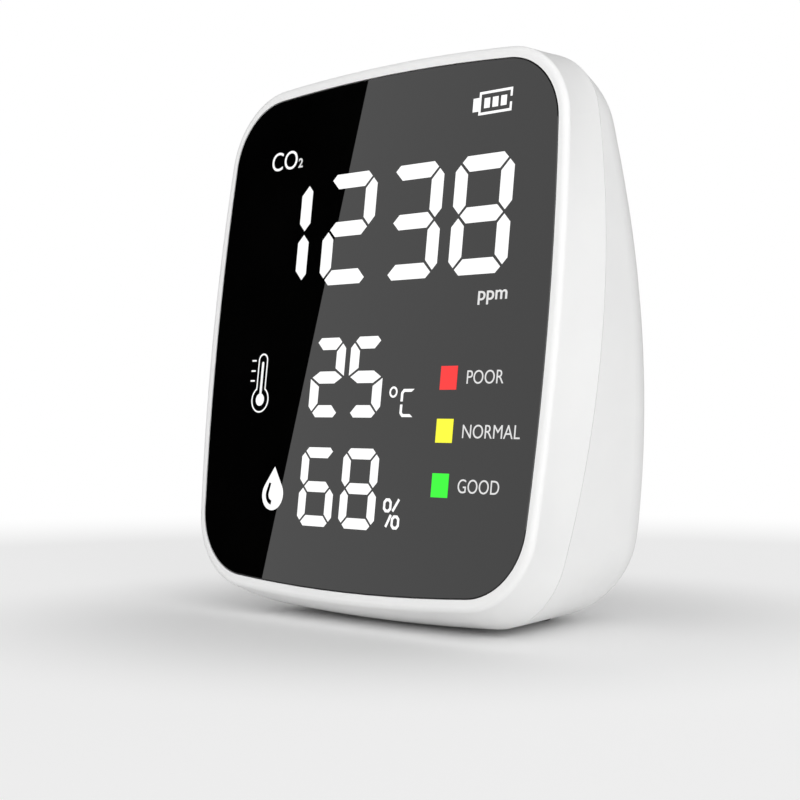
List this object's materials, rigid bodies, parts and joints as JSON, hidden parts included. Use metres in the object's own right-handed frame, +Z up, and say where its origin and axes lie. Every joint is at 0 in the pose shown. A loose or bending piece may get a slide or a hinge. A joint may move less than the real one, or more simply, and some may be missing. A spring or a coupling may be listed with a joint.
{
  "type": "carbon dioxide monitor",
  "caption": "Free-standing wedge-shaped desk monitor for carbon dioxide, temperature and humidity, with a black glossy window, rear vent, charging socket and push buttons.",
  "frame": {"origin": "centre of the object's base, on the surface it stands on", "axes": "+Z up, the window faces -Y, +X to the right of a person reading it"},
  "size_m": [0.0784, 0.0424, 0.0899],
  "materials": {
    "white_shell": "fine satin moulded ABS",
    "foot_rubber": "soft matt light grey",
    "window_black": "polished hard-coated acrylic, printed black behind",
    "adhesive": "black double-sided tape",
    "diffuser": "milky film",
    "reflector_white": "matt white moulding",
    "light_guide": "milky clear resin",
    "status_red": "tinted resin",
    "status_yellow": "tinted resin",
    "status_green": "tinted resin",
    "led_chip": "small ceramic package",
    "circuit_board": "green solder mask on glass-epoxy",
    "sensor_board": "blue solder mask on glass-epoxy",
    "chip_black": "moulded epoxy",
    "chip_metal": "tinned lid",
    "standoff_brass": "turned",
    "plug_black": "moulded nylon",
    "plug_white": "moulded nylon",
    "pin_gold": "gold flash",
    "sensor_gold": "gold-plated moulding",
    "filter_white": "white membrane",
    "gasket_foam": "closed-cell foam",
    "battery_foil": "laminated foil pouch",
    "lead_insulation": "soft lead insulation",
    "ribbon": "flat cable",
    "socket_steel": "nickel-plated steel",
    "button_plastic": "fine satin moulded ABS",
    "plunger": "moulded acetal",
    "mesh": "fine woven dust mesh",
    "screw_steel": "zinc-plated steel"
  },
  "bodies": {
    "case": {"front_housing": "white_shell", "rear_housing": "white_shell", "rubber_feet": "foot_rubber", "display_window": "window_black", "window_adhesive": "adhesive", "diffuser_film": "diffuser", "display_reflector": "reflector_white", "co2_digit_guides": "light_guide", "temperature_digit_guides": "light_guide", "humidity_digit_guides": "light_guide", "icon_guides": "light_guide", "red_status_guide": "status_red", "yellow_status_guide": "status_yellow", "green_status_guide": "status_green", "display_leds": "led_chip", "display_board": "circuit_board", "display_driver": "chip_black", "board_standoffs": "standoff_brass", "board_header": "plug_black", "main_board": "circuit_board", "microcontroller": "chip_black", "co2_sensor_board": "sensor_board", "co2_sensor_pins": "pin_gold", "co2_sensor_chamber": "sensor_gold", "co2_sensor_filters": "filter_white", "sensor_gasket": "gasket_foam", "climate_sensor": "chip_metal", "buzzer": "plug_black", "battery_pad": "gasket_foam", "battery_cell": "battery_foil", "battery_leads": "lead_insulation", "battery_plug": "plug_white", "battery_socket": "plug_white", "charging_board": "circuit_board", "charging_parts": "chip_black", "harness_plugs": "plug_white", "charging_ribbon": "ribbon", "usb_socket_shell": "socket_steel", "usb_socket_tongue": "plug_black", "power_switch": "plug_black", "mode_switch": "plug_black", "vent_mesh": "mesh", "case_screws": "screw_steel", "display_board_screws": "screw_steel", "main_board_screws": "screw_steel", "charging_board_screws": "screw_steel"},
    "power_key": {"power_button": "button_plastic", "power_switch_plunger": "plunger"},
    "mode_key": {"mode_button": "button_plastic", "mode_switch_plunger": "plunger"}
  },
  "joints": [
    {"name": "power_press", "type": "slide", "parent": "case", "child": "power_key", "axis": [0, -1, 0], "range_m": [0, 0.0004], "stiffness_N_per_m": 800, "springref_m": -0.0008},
    {"name": "mode_press", "type": "slide", "parent": "case", "child": "mode_key", "axis": [0, -1, 0], "range_m": [0, 0.0004], "stiffness_N_per_m": 800, "springref_m": -0.0008}
  ]
}
